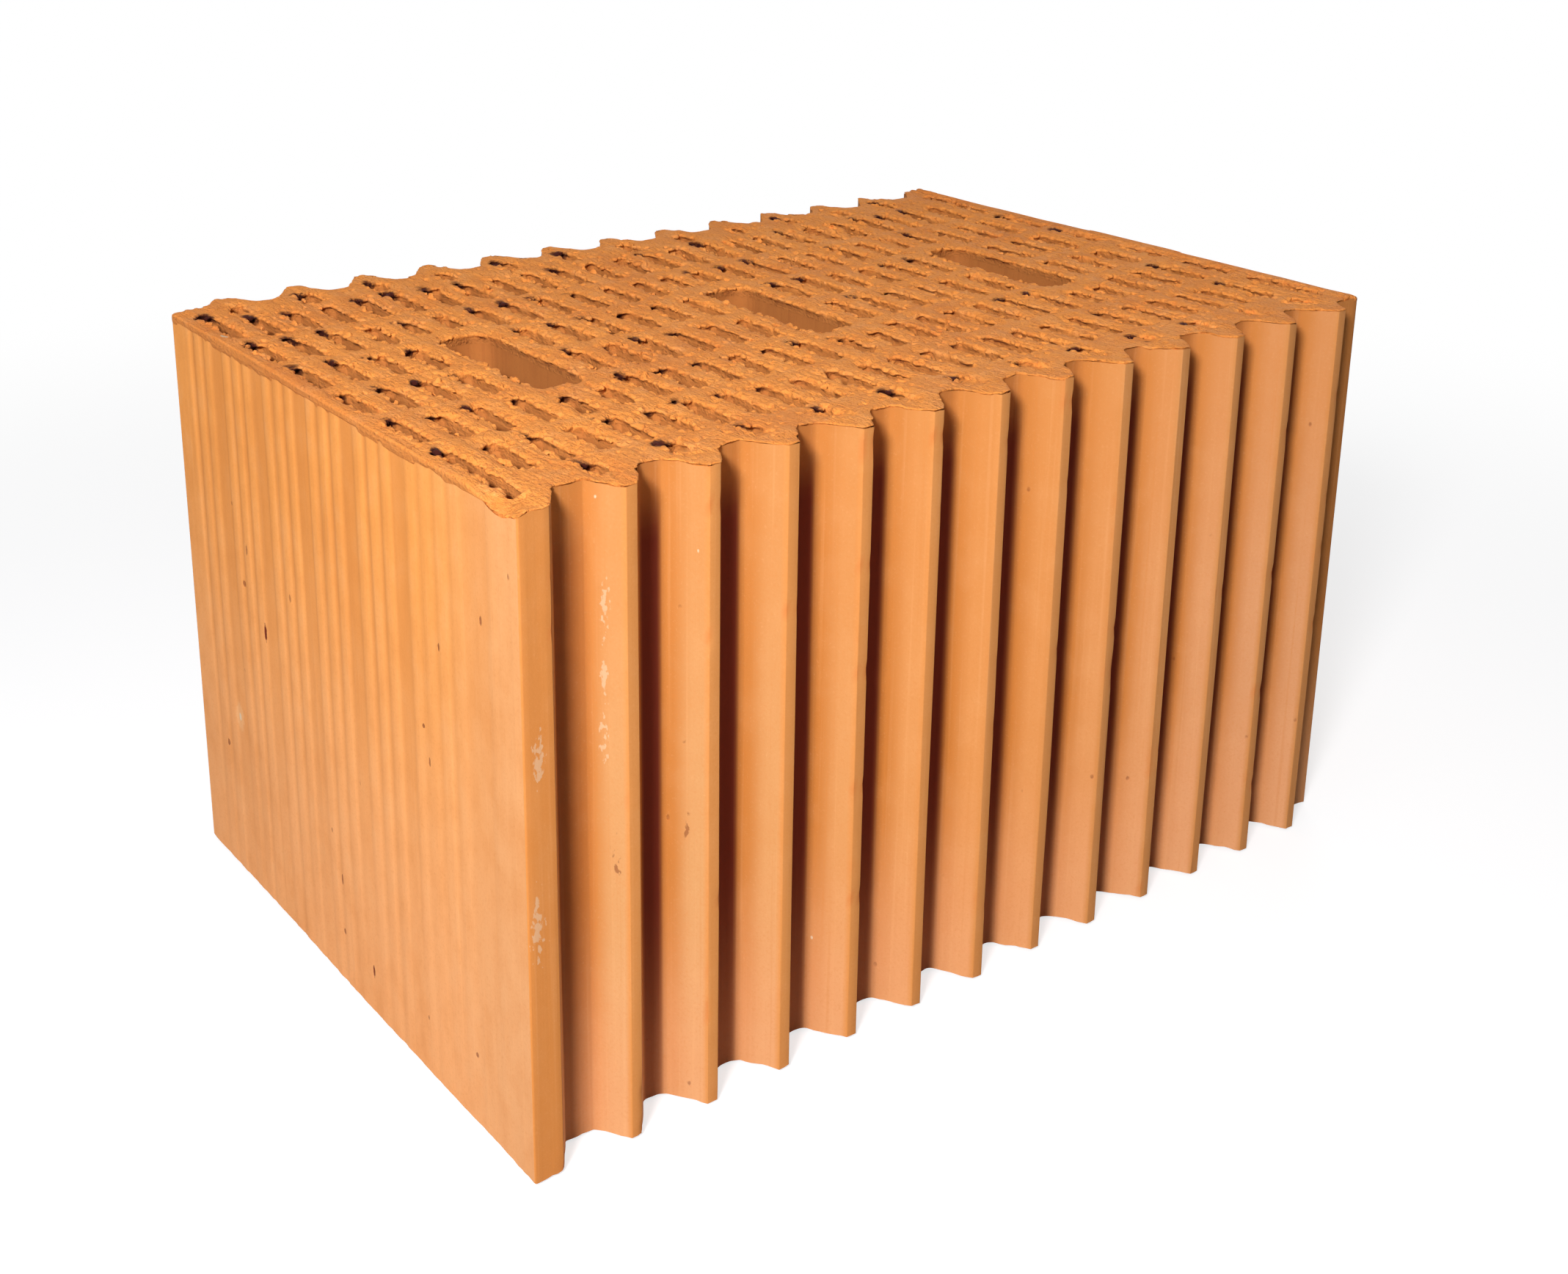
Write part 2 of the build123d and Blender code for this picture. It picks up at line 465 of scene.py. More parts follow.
def hole_distance(xs, ys):
    """Signed distance in plan to the nearest slot or grip hole, below zero in it and at most 8."""
    nearest = np.full((len(xs), len(ys)), 8.0)
    holes = [((x, y), width, length, SLOT_CORNER) for x, y, width, length in SLOTS]
    holes += [(middle, GRIP_WIDTH, GRIP_LENGTH, GRIP_CORNER) for middle in GRIPS]
    for middle, width, length, rounding in holes:
        cols = window(xs, middle[0] - width / 2 - 8, middle[0] + width / 2 + 8)
        rows = window(ys, middle[1] - length / 2 - 8, middle[1] + length / 2 + 8)
        away = box_distance(xs[cols, None], ys[None, rows], middle, width, length, rounding)
        nearest[cols, rows] = np.minimum(nearest[cols, rows], away)
    return nearest


def slot_ends(xs, ys):
    """1 at both ends of every slot and 0 along its middle, where the wire left it widest."""
    ends = np.zeros((len(xs), len(ys)))
    for middle_x, middle_y, width, length in SLOTS:
        cols = window(xs, middle_x - width / 2 - 1.5, middle_x + width / 2 + 1.5)
        rows = window(ys, middle_y - length / 2 - 1.5, middle_y + length / 2 + 1.5)
        ends[cols, rows] = eased(np.abs(ys[rows] - middle_y) / (length / 2), 0.45, 1.0)
    return ends


def blob_distance(xs, ys, depths, middle, reach):
    """About the distance to an egg-shaped lump, below zero in it."""
    parts = [((row - m) / r) ** 2 for row, m, r in zip((xs, ys, depths), middle, reach)]
    away = np.sqrt(parts[0][:, None, None] + parts[1][None, :, None] + parts[2][None, None, :])
    return (away - 1) * min(reach)


def torn_field(xs, ys, depths, bed, burr, ragged):
    """Distance field of the torn clay, below zero in it, and what its shades need.

    The depths run down from the flat bed.
    """
    chance = np.random.default_rng(bed["seed"])
    seed = bed["seed"] * 10
    x, y = np.meshgrid(xs, ys, indexing="ij")
    drop = bed_drop(x, y, **bed)
    rim = plan_distance(x, y, OUTLINE)
    hole = hole_distance(xs, ys)
    drop = drop + burr * 0.55 * (1 - eased(hole, 0.0, 2.6))
    depth = depths[None, None, :]
    below = depth - drop[..., None]

    jagged = 0.5 + 0.5 * slot_ends(xs, ys) + 0.75 * lumps(seed, (x, 5), (y, 8))
    jagged = jagged + 0.6 * lumps(seed + 1, (x, 2.3), (y, 2.8))
    overhang = burr * np.clip(jagged + 0.45 * lumps(seed + 10, (x, 1.4), (y, 1.5)), -0.8, 2.0)[..., None]
    curl = (0.95 + 0.4 * lumps(seed + 11, (x, 3), (y, 4)))[..., None]
    lip = np.maximum(overhang, 0) * (1 - eased(below, curl - 0.3, curl + 0.5)) + 0.12
    lip = lip + np.minimum(overhang, 0) * (1 - eased(below, 1.0, 3.5))
    on_end = np.abs(x) > HALF_LENGTH - 3
    from_pier = TIP_LINE - np.sign(x) * y
    band = 3.6 + 0.9 * lumps(seed + 2, (y, 13), (x, 60)) + 0.7 * lumps(seed + 3, (y, 4), (x, 60))
    band = drop * (1 - eased(from_pier, 14, 30)) + 0.6 + band * eased(from_pier, 14, 30)
    torn_band = ragged * np.where(on_end, band, drop + 0.7 + 0.5 * lumps(seed + 4, (x, 6), (y, 6)))
    proud = np.where(on_end | (np.abs(y) > TIP_LINE - 2), -0.18, 0.05 + 0.2 * lumps(seed + 5, (x, 5), (y, 5)))
    overlap = eased(depth, (torn_band - 0.4)[..., None], (torn_band + 0.4)[..., None])
    edge = rim[..., None] - proud[..., None] + (1.3 + proud[..., None]) * overlap
    field = rounder_of(np.maximum(edge, -hole[..., None] - lip), -below, 0.5)
    hollow_shade = np.zeros(field.shape, np.float32)

    for middle_x, middle_y, width, length in SLOTS:
        near_end, far_end = middle_y - length / 2, middle_y + length / 2
        smeared = length < 15 and middle_y < 0 and middle_x > column_x(2) + 1
        share = chance.uniform(0.55, 1.0) if smeared else chance.choice((0, 0, chance.uniform(0.06, 0.28)))
        slope = chance.uniform(0.03, 0.12) if smeared else chance.uniform(0.2, 0.5)
        cols = window(xs, middle_x - width / 2 - 2, middle_x + width / 2 + 2)
        rows = window(ys, near_end - 2, near_end + share * length + 3)
        across, along = x[cols, rows], y[cols, rows] - near_end
        uneven = 0.3 * lumps(seed + 6, (across, 3), (y[cols, rows], 5))
        ramp = drop[cols, rows] + 0.4 + slope * np.maximum(along, 0) + uneven
        end = along - share * length - 1.5 * lumps(seed + 7, (across, 2.2), (y[cols, rows], 9))
        smear = rounder_of(ramp[..., None] - depth, depth - ramp[..., None] - 1.8, 0.5)
        tongue = rounder_of(smear, end[..., None], 0.5)
        if share > 0:
            field[cols, rows] = -rounder_of(-field[cols, rows], -tongue, 0.6)
        left = middle_x - width / 2
        top = drop[np.searchsorted(xs, left), min(np.searchsorted(ys, far_end), len(ys) - 1)]
        if chance.uniform() < burr * np.interp(middle_x, (-190, -40, 60, 190), (0.9, 0.75, 0.4, 0.25)):
            middle = (left + chance.uniform(1.2, 3.2), far_end - chance.uniform(-0.6, 2.5),
                      top + chance.uniform(1.8, 2.8))
            reach = (chance.uniform(2.0, 3.8), chance.uniform(2.4, 4.4),
                     min(chance.uniform(2.2, 3.4), 6.4 - middle[2]))
            cols, rows = window(xs, middle[0] - 6, middle[0] + 6), window(ys, middle[1] - 7, middle[1] + 7)
            cave = blob_distance(xs[cols], ys[rows], depths, middle, reach)
            field[cols, rows] = rounder_of(field[cols, rows], -cave, 0.4)
            # Painted shade: the inside of the cave is also painted dark.
            hollow_shade[cols, rows] = np.maximum(hollow_shade[cols, rows], eased(-cave, -1.0, 0.1))
        for _ in range(chance.integers(0, 4)):
            size = min(chance.uniform(0.9, 1.7), top + 0.3)
            middle = (left + width * chance.choice((-0.05, -0.05, 1.05)),
                      far_end - chance.uniform(0, 0.6) * length, top + 0.35)
            reach = (chance.uniform(0.5, 1.0), chance.uniform(1.2, 2.8), size)
            cols, rows = window(xs, middle[0] - 4, middle[0] + 4), window(ys, middle[1] - 5, middle[1] + 5)
            away = blob_distance(xs[cols], ys[rows], depths, middle, reach)
            field[cols, rows] = -rounder_of(-field[cols, rows], -away, 0.4)

    reach = int(math.ceil(2.0 / (xs[1] - xs[0])))
    crumbling = np.argwhere((hole > -1.3) & (hole < 0.9) & (rim < -3))
    pitted = np.argwhere((hole > 0.1) & (rim < -4))
    crumbs = crumbling[chance.choice(len(crumbling), int(CRUMB_COUNT * burr), replace=False)]
    pits = pitted[chance.choice(len(pitted), int(PIT_COUNT * burr), replace=False)]
    for is_crumb, spots in ((True, crumbs), (False, pits)):
        for i, j in spots:
            cols, rows = slice(max(i - reach, 0), i + reach + 1), slice(max(j - reach, 0), j + reach + 1)
            size = chance.uniform(0.5, 1.05)
            aside = chance.uniform(-0.3, 0.3)
            sunk = chance.uniform(0.0, 0.7) if is_crumb else -0.1
            spread = (size, size * chance.uniform(1.0, 2.0), size)
            middle = (xs[i], ys[j] + aside, drop[i, j] + sunk)
            away = blob_distance(xs[cols], ys[rows], depths, middle, spread)
            near = field[cols, rows]
            field[cols, rows] = -rounder_of(-near, -away, 0.3) if is_crumb else rounder_of(near, -away, 0.3)

    full = (x[..., None], y[..., None], np.broadcast_to(depth, field.shape))
    rough = 0.17 * lumps(seed + 8, (full[0], 2.4), (full[1], 3.2), (full[2], 2.4))
    rough = rough + 0.17 * lumps(seed + 9, (full[0], 1.3), (full[1], 1.5), (full[2], 1.3))
    crumbly = burr * (0.8 + 0.4 * eased(-np.abs(hole + 0.3), -2.4, -0.6)) * eased(-rim, 0, 4)
    field = field + rough * crumbly[..., None] * (1 - 0.8 * eased(below, 1.5, 3.0))
    return field, {"drop": drop, "rim": rim, "hole": hole, "hollow_shade": hollow_shade,
                   "overhang": overhang[..., 0], "curl": curl[..., 0]}


def skin_of_field(field, xs, ys, depths):
    """Corners and faces of the surface on which a distance field is zero."""
    inside = field < 0
    filled = np.zeros([n - 1 for n in field.shape], np.int8)
    offsets = list(itertools.product((0, 1), repeat=3))
    for a, b, c in offsets:
        filled += inside[a:field.shape[0] - 1 + a, b:field.shape[1] - 1 + b, c:field.shape[2] - 1 + c]
    cells = np.argwhere((filled > 0) & (filled < 8))
    number = np.full(filled.shape, -1, np.int64)
    number[tuple(cells.T)] = np.arange(len(cells))
    total, crossings = np.zeros((len(cells), 3)), np.zeros(len(cells))
    for first, second in itertools.combinations(offsets, 2):
        if sum(abs(a - b) for a, b in zip(first, second)) != 1:
            continue
        start = field[tuple((cells + first).T)]
        end = field[tuple((cells + second).T)]
        crossed = (start < 0) != (end < 0)
        share = np.where(crossed, start / np.where(crossed, start - end, 1), 0)
        point = np.array(first) + share[:, None] * (np.array(second) - np.array(first))
        total += point * crossed[:, None]
        crossings += crossed
    spot = cells + total / crossings[:, None]
    axes = enumerate((xs, ys, depths))
    corners = np.stack([np.interp(spot[:, k], np.arange(len(row)), row) for k, row in axes], -1)
    faces = []
    for axis in range(3):
        one, two = (axis + 1) % 3, (axis + 2) % 3
        ahead = [slice(1, -1)] * 3
        behind = [slice(1, -1)] * 3
        behind[axis], ahead[axis] = slice(0, -1), slice(1, None)
        low, high = inside[tuple(behind)], inside[tuple(ahead)]
        for leaving in (True, False):
            edges = np.argwhere((low != high) & (low == leaving))
            edges[:, one] += 1
            edges[:, two] += 1
            ring = []
            for step_one, step_two in ((-1, -1), (0, -1), (0, 0), (-1, 0)):
                cell = edges.copy()
                cell[:, one] += step_one
                cell[:, two] += step_two
                ring.append(number[tuple(cell.T)])
            ring = np.stack(ring, -1)
            faces.append(ring if leaving else ring[:, ::-1])
    return corners, np.concatenate(faces)


def without_loose_bits(corners, faces, least):
    """The skin without pieces of fewer corners than least that touch nothing else."""
    group = np.arange(len(corners))
    first = np.concatenate([faces[:, k] for k in range(4)])
    second = np.concatenate([faces[:, (k + 1) % 4] for k in range(4)])
    while True:
        lowest = np.minimum(group[first], group[second])
        fresh = group.copy()
        np.minimum.at(fresh, first, lowest)
        np.minimum.at(fresh, second, lowest)
        fresh = fresh[fresh]
        if (fresh == group).all():
            break
        group = fresh
    kept = np.bincount(group, minlength=len(corners))[group] >= least
    number = np.cumsum(kept) - 1
    return corners[kept], number[faces[kept[faces[:, 0]]]]


def torn_bed(cell, depths, bed, burr, ragged, upper):
    """Corners, faces and shades of a torn bed face, wire-cut while the clay was soft."""
    xs = np.arange(-HALF_LENGTH - FIELD_START, HALF_LENGTH + FIELD_END, cell)
    ys = np.arange(-TIP_LINE - FIELD_START, TIP_LINE + FIELD_END, cell)
    field, plan = torn_field(xs, ys, depths, bed, burr, ragged)
    corners, faces = without_loose_bits(*skin_of_field(field, xs, ys, depths), LEAST_CORNERS)
    spot = tuple(np.clip(np.rint((corners[:, k] - row[0]) / cell).astype(int), 0, len(row) - 1)
                 for k, row in enumerate((xs, ys)))
    level = np.clip(np.searchsorted(depths, corners[:, 2]), 0, len(depths) - 1)
    below = corners[:, 2] - plan["drop"][spot]
    under_rim = eased(below, 0.3, 1.0) * (plan["rim"][spot] > -1.2) * (scooped(*corners.T[:2]) < 0.1)
    deep = np.maximum(eased(below, 0.7, 2.4) * (plan["hole"][spot] < 1.2), 0.6 * under_rim)
    in_grip = np.zeros(len(corners))
    for middle in GRIPS:
        in_grip += box_distance(*corners.T[:2], middle, GRIP_WIDTH, GRIP_LENGTH, GRIP_CORNER) < 1.5
    # Painted shadow: a thin band just under each overhanging lip is painted dark, where the lip shades the
    # wall below it.
    under = below - plan["curl"][spot]
    lipped = eased(plan["overhang"][spot], 0.8, 1.4) * (plan["hole"][spot] < 0.8)
    crack_and_lip_shadow = eased(under, -0.1, 0.2) * eased(-under, -1.1, -0.4) * lipped
    corners[:, 0] = np.clip(corners[:, 0], -HALF_LENGTH, HALF_LENGTH)
    corners[:, 1] = np.clip(corners[:, 1], -TIP_LINE, TIP_LINE)
    corners[:, 2] = np.clip(corners[:, 2], 0.0, None)
    if upper:
        corners[:, 2] = HEIGHT - corners[:, 2]
        faces = faces[:, ::-1]
    hollow_shade = plan["hollow_shade"][(*spot, level)]
    return corners, faces, {"deep": deep, "grip": deep * in_grip, "crack_and_lip_shadow": crack_and_lip_shadow, "hollow_shade": hollow_shade}


class Shade:
    """A value, colour or direction in a finish; sums written with it add their Math nodes."""

    def __init__(self, finish, socket):
        self.finish, self.socket = finish, socket

    def worked(self, operation, *others):
        return self.finish.node("ShaderNodeMath", {"operation": operation}, dict(enumerate((self, *others))))

    def __add__(self, other):
        return self.worked("ADD", other)

    def __sub__(self, other):
        return self.worked("SUBTRACT", other)

    def __rsub__(self, other):
        return self.finish.node("ShaderNodeMath", {"operation": "SUBTRACT"}, {0: other, 1: self})

    def __mul__(self, other):
        return self.worked("MULTIPLY", other)

    __radd__ = __add__
    __rmul__ = __mul__

    def larger(self, other):
        return self.worked("MAXIMUM", other)

    def eased(self, low, high):
        return self.finish.node("ShaderNodeMapRange", {"interpolation_type": "SMOOTHSTEP"},
                                {"Value": self, "From Min": low, "From Max": high})


class Finish:
    """A material of the brick, or the air around it, built up from nodes."""

    def __init__(self, name, kept_in=bpy.data.materials):
        self.owner = kept_in.new(name)
        self.owner.use_nodes = True
        self.tree = self.owner.node_tree
        self.tree.nodes.clear()

    @property
    def place(self):
        return self.node("ShaderNodeTexCoord", output="Object")

    def node(self, kind, settings=None, sockets=None, output=0):
        made = self.tree.nodes.new(kind)
        for name, value in (settings or {}).items():
            setattr(made, name, value)
        for name, value in (sockets or {}).items():
            if isinstance(value, Shade):
                self.tree.links.new(value.socket, made.inputs[name])
            else:
                made.inputs[name].default_value = value
        return Shade(self, made.outputs[output]) if made.outputs else None

    def mix(self, first, second, share):
        return self.node("ShaderNodeMix", {"data_type": "RGBA"}, {0: share, 6: first, 7: second}, output=2)

    def place_on(self, axis):
        return self.node("ShaderNodeSeparateXYZ", {}, {0: self.place}, output=axis)

    def shade(self, name):
        """A shade that the mesh carries."""
        return self.node("ShaderNodeAttribute", {"attribute_name": name}, output="Fac")

    def scaled_place(self, sizes):
        sizes = [size * MILLIMETRE for size in sizes]
        return self.node("ShaderNodeVectorMath", {"operation": "DIVIDE"}, {0: self.place, 1: sizes})

    def grain(self, sizes, detail=2.0, roughness=0.5):
        """Uneven values from 0 to 1 with lumps of these sizes in millimetres along X, Y and Z."""
        sockets = {"Vector": self.scaled_place(sizes), "Scale": 1.0, "Detail": detail, "Roughness": roughness}
        return self.node("ShaderNodeTexNoise", {}, sockets)

    def spot(self, middle, reach, wobble):
        """1 at a place on the brick and 0 from its reach on, in millimetres."""
        middle = [place * MILLIMETRE for place in middle]
        reach = [size * MILLIMETRE for size in reach]
        away = self.node("ShaderNodeVectorMath", {"operation": "SUBTRACT"}, {0: self.place, 1: middle})
        away = self.node("ShaderNodeVectorMath", {"operation": "DIVIDE"}, {0: away, 1: reach})
        length = self.node("ShaderNodeVectorMath", {"operation": "LENGTH"}, {0: away}, output="Value")
        return (1 - length + wobble).eased(0.0, 0.35)

    def bump(self, relief, strength, depth):
        """Fine relief of a depth in millimetres."""
        sockets = {"Strength": strength, "Distance": depth * MILLIMETRE, "Height": relief}
        return self.node("ShaderNodeBump", {}, sockets)

    def surface(self, colour, roughness, bump):
        body = self.node("ShaderNodeBsdfPrincipled", {}, {"Base Color": colour, "Roughness": roughness,
                                                          "Specular IOR Level": 0.25, "Normal": bump})
        self.node("ShaderNodeOutputMaterial", {}, {"Surface": body})
        return self.owner

    def looked_at(self):
        """1 on what the camera sees straight, mirrored or through a clear piece."""
        straight, mirrored, through = (self.node("ShaderNodeLightPath", output=f"Is {ray} Ray")
                                       for ray in ("Camera", "Glossy", "Transmission"))
        return straight.larger(mirrored).larger(through)


def tone(red, green, blue):
    """A colour as seen on a screen, from 0 to 255, as shader values."""
    channels = []
    for value in (red, green, blue):
        value = value / 255
        channels.append(value / 12.92 if value < 0.04045 else ((value + 0.055) / 1.055) ** 2.4)
    return (*channels, 1.0)


# Plaster face tones, paler low down and on the near side as painted light
FLUTED_LOW = tone(248, 173, 112)
FLUTED_HIGH = tone(244, 161, 82)
FLUTED_NEAR = tone(231, 166, 112)
# Flank tones along X, painted to follow how the key lamp lights the side
FLANK_LEFT = tone(217, 159, 103)
FLANK_MIDDLE = tone(223, 149, 84)
FLANK_RIGHT = tone(221, 155, 106)
# Painted shade on the deep part of the flanks
FLANK_ROOT_SHADE = tone(196, 117, 45)
# Flank tones by height, painted as light bounced off the floor onto the foot
FLANK_HIGH = tone(208, 132, 66)
FLANK_LOW = tone(238, 169, 120)
PIER_CLAY = tone(219, 138, 68)
LAND_CLAY = tone(223, 146, 78)
# Land tone towards the right, painted darker where the key lamp lights the lands less
LAND_RIGHT = tone(209, 140, 80)
DEEP_CLAY = tone(214, 132, 62)
PALE_CLAY = tone(247, 188, 132)
TORN_CLAY = tone(253, 160, 74)
TORN_DEEP = tone(216, 117, 55)
# Dark clay for pores, nicks and marks, also used for the painted shadow under the lips
BURNT_AND_SHADOW = tone(112, 38, 18)
# Painted shade inside the caves at the far ends of the slots
HOLLOW_SHADE = tone(66, 19, 9)
LIME = tone(232, 205, 172)
# Painted shade for the roots between the teeth
GROOVE_SHADE = tone(112, 32, 22)
SLOT_CLAY = tone(207, 128, 63)
SLOT_DEEP = tone(160, 88, 42)
GRIP_CLAY = tone(188, 115, 56)
GRIP_DEEP = tone(158, 90, 44)

# Nicks in the left plaster face: distance from the pier's corner, height, half sizes and strength
FACE_NICKS = ((181, 115, 0.9, 4.0, 1.1), (106, 17, 0.8, 2.6, 1.0), (127.5, 42, 0.7, 2.4, 0.8),
              (128, 21, 0.9, 1.2, 0.7), (34, 27, 0.9, 1.1, 0.7), (23, 178, 0.8, 1.8, 0.7),
              (49, 160, 0.8, 1.6, 0.8), (61, 129, 0.9, 1.0, 0.8), (58, 118, 0.7, 2.0, 0.7),
              (225, 53, 1.1, 1.6, 0.7), (205, 157, 1.0, 1.1, 0.7), (198, 128, 1.2, 1.4, 0.7),
              (193, 143, 0.9, 2.4, 0.6), (157, 137, 0.9, 1.8, 0.5))
FACE_LIME = (212, 69)

# Marks on the near long side: place, half sizes in plan and in height
SIDE_LIME = (((-127.6, -126.8, 190.9), 0.7, 1.0), ((-74.8, -118.9, 36.9), 0.7, 0.9),
             ((-159.8, -121.9, 213.6), 0.6, 0.7))
SIDE_SCUFFS = (((-158.5, -123.9, 180), 1.6, 9), ((-158.7, -123.6, 159), 1.3, 7),
               ((-158.8, -123.4, 138), 1.4, 8), ((-184.7, -130, 142), 2.0, 9), ((-186.1, -130, 89), 2.2, 11))
SIDE_CRACKS = (((-157.1, -126.0, 98.5), 1.5, 9.0), ((-129.6, -123.7, 100), 1.4, 6.5))
TOP_LIME = (-186.1, 78.6, 218.0)


def clay_body(finish, body, deep, pale, mottle=1.0):
    """Mottled clay colour with fine grain, and the fine grain itself."""
    broad = finish.grain((55, 55, 70), 3.0)
    middle = finish.grain((9, 9, 14), 3.0)
    fine = finish.grain((0.9, 0.9, 0.9), 3.0, 0.6)
    darker = broad.eased(0.42, 0.72) * (0.28 * mottle) + middle.eased(0.45, 0.75) * (0.18 * mottle)
    colour = finish.mix(body, deep, darker)
    paler = middle.eased(0.55, 0.25) * (0.16 * mottle) + fine.eased(0.55, 0.8) * 0.14
    colour = finish.mix(colour, pale, paler)
    colour = finish.mix(colour, deep, fine.eased(0.5, 0.28) * 0.22)
    return colour, fine


def pores(finish, size, least):
    """Sparse small pores."""
    sockets = {"Vector": finish.scaled_place((size, size, size * 1.6)), "Scale": 1.0, "Randomness": 1.0}
    cells = finish.node("ShaderNodeTexVoronoi", {"feature": "F1"}, sockets, output="Distance")
    chosen = finish.grain((size * 1.7,) * 3, 0.0).eased(least, least + 0.08)
    return cells.eased(0.15, 0.07) * chosen


def fluted_clay():
    finish = Finish("fluted_clay")
    height = finish.place_on("Z")
    along = finish.place_on("Y")
    # Painted light: the plaster face pales towards its foot, as light bounced off the floor, and towards the
    # near side, where the key lamp is nearer.
    body = finish.mix(FLUTED_LOW, FLUTED_HIGH, height.eased(0.03, 0.2))
    body = finish.mix(body, FLUTED_NEAR, along.eased(-0.07, -0.125) * 0.7)
    colour, fine = clay_body(finish, body, DEEP_CLAY, PALE_CLAY)
    flute = finish.shade("flute")
    drawn = finish.grain((60, 1.1, 110), 2.0)
    colour = finish.mix(colour, DEEP_CLAY, flute * 0.45)
    colour = finish.mix(colour, PALE_CLAY, drawn.eased(0.55, 0.8) * 0.1)
    colour = finish.mix(colour, DEEP_CLAY, drawn.eased(0.42, 0.22) * 0.1)
    pored = pores(finish, 5.0, 0.74)
    colour = finish.mix(colour, BURNT_AND_SHADOW, pored * 0.5)
    wobble = finish.grain((1.3, 1.3, 1.3), 2.0) * 0.7 - 0.35
    nicked = pored * 0.6
    for across, up, wide, tall, strength in FACE_NICKS:
        nick = finish.spot((-HALF_LENGTH, across - TIP_LINE, up), (4, wide, tall), wobble) * strength
        colour = finish.mix(colour, BURNT_AND_SHADOW, nick * 0.9)
        nicked = nicked.larger(nick)
    lime = (-HALF_LENGTH, FACE_LIME[0] - TIP_LINE, FACE_LIME[1])
    colour = finish.mix(colour, PALE_CLAY, finish.spot(lime, (4, 4, 7), wobble) * 0.5)
    colour = finish.mix(colour, LIME, finish.spot(lime, (4, 1.3, 1.8), wobble))
    relief = fine * 0.35 + drawn * 0.5 - nicked * 2.0
    return finish.surface(colour, 0.9, finish.bump(relief, 0.5, 0.25))


def drawn_clay():
    finish = Finish("drawn_clay")
    land = finish.shade("land")
    along = finish.place_on("X")
    # Painted light: the flank and land tones change along X to follow how the key lamp lights each part of
    # the side.
    flank = finish.mix(FLANK_LEFT, FLANK_MIDDLE, along.eased(-0.15, -0.01))
    flank = finish.mix(flank, FLANK_RIGHT, along.eased(0.0, 0.14))
    # Painted shade on the deep part of the flanks, towards the roots
    flank_root_shade = finish.shade("flank")
    flank = finish.mix(flank, FLANK_ROOT_SHADE, flank_root_shade * 0.9)
    height = finish.place_on("Z")
    # Painted light: the flanks darken towards the top and pale towards the foot, as light bounced off the
    # floor.
    flank = finish.mix(flank, FLANK_HIGH, height.eased(0.09, 0.215) * 0.55)
    flank = finish.mix(flank, FLANK_LOW, height.eased(0.09, 0.0) * 0.6)
    land_tone = finish.mix(PIER_CLAY, LAND_CLAY, along.eased(-0.18, -0.16))
    land_tone = finish.mix(land_tone, LAND_RIGHT, along.eased(-0.06, 0.1))
    colour, fine = clay_body(finish, finish.mix(flank, land_tone, land), DEEP_CLAY, PALE_CLAY, 0.4)
    drawn = finish.grain((1.6, 1.6, 150), 2.0)
    colour = finish.mix(colour, PALE_CLAY, drawn.eased(0.55, 0.75) * 0.11)
    colour = finish.mix(colour, DEEP_CLAY, drawn.eased(0.42, 0.25) * 0.2)
    chipped = finish.shade("chip")
    colour = finish.mix(colour, TORN_DEEP, chipped * 0.5)
    # Painted shade in the roots between the teeth
    groove = finish.shade("groove")
    colour = finish.mix(colour, GROOVE_SHADE, groove * 0.93)
    pored = pores(finish, 5.5, 0.7)
    colour = finish.mix(colour, BURNT_AND_SHADOW, pored * 0.45)
    wobble = finish.grain((1.3, 1.3, 2.6), 3.0) * 2.4 - 1.2
    for middle, wide, tall in SIDE_SCUFFS:
        scuff = finish.spot(middle, (wide, wide, tall), wobble * 1.7 - 0.25)
        colour = finish.mix(colour, LIME, scuff * 0.42)
    for middle, wide, tall in SIDE_LIME:
        speck = finish.spot(middle, (wide, wide, tall), wobble * 0.5)
        colour = finish.mix(colour, LIME, speck * 0.8)
    for middle, wide, tall in SIDE_CRACKS:
        crack_and_lip_shadow = finish.spot(middle, (wide, wide, tall), wobble * 1.3 - 0.35)
        colour = finish.mix(colour, BURNT_AND_SHADOW, crack_and_lip_shadow * 0.55)
    relief = fine * 0.35 + drawn * 0.5 - pored * 1.5
    return finish.surface(colour, 0.9, finish.bump(relief, 0.5, 0.25))


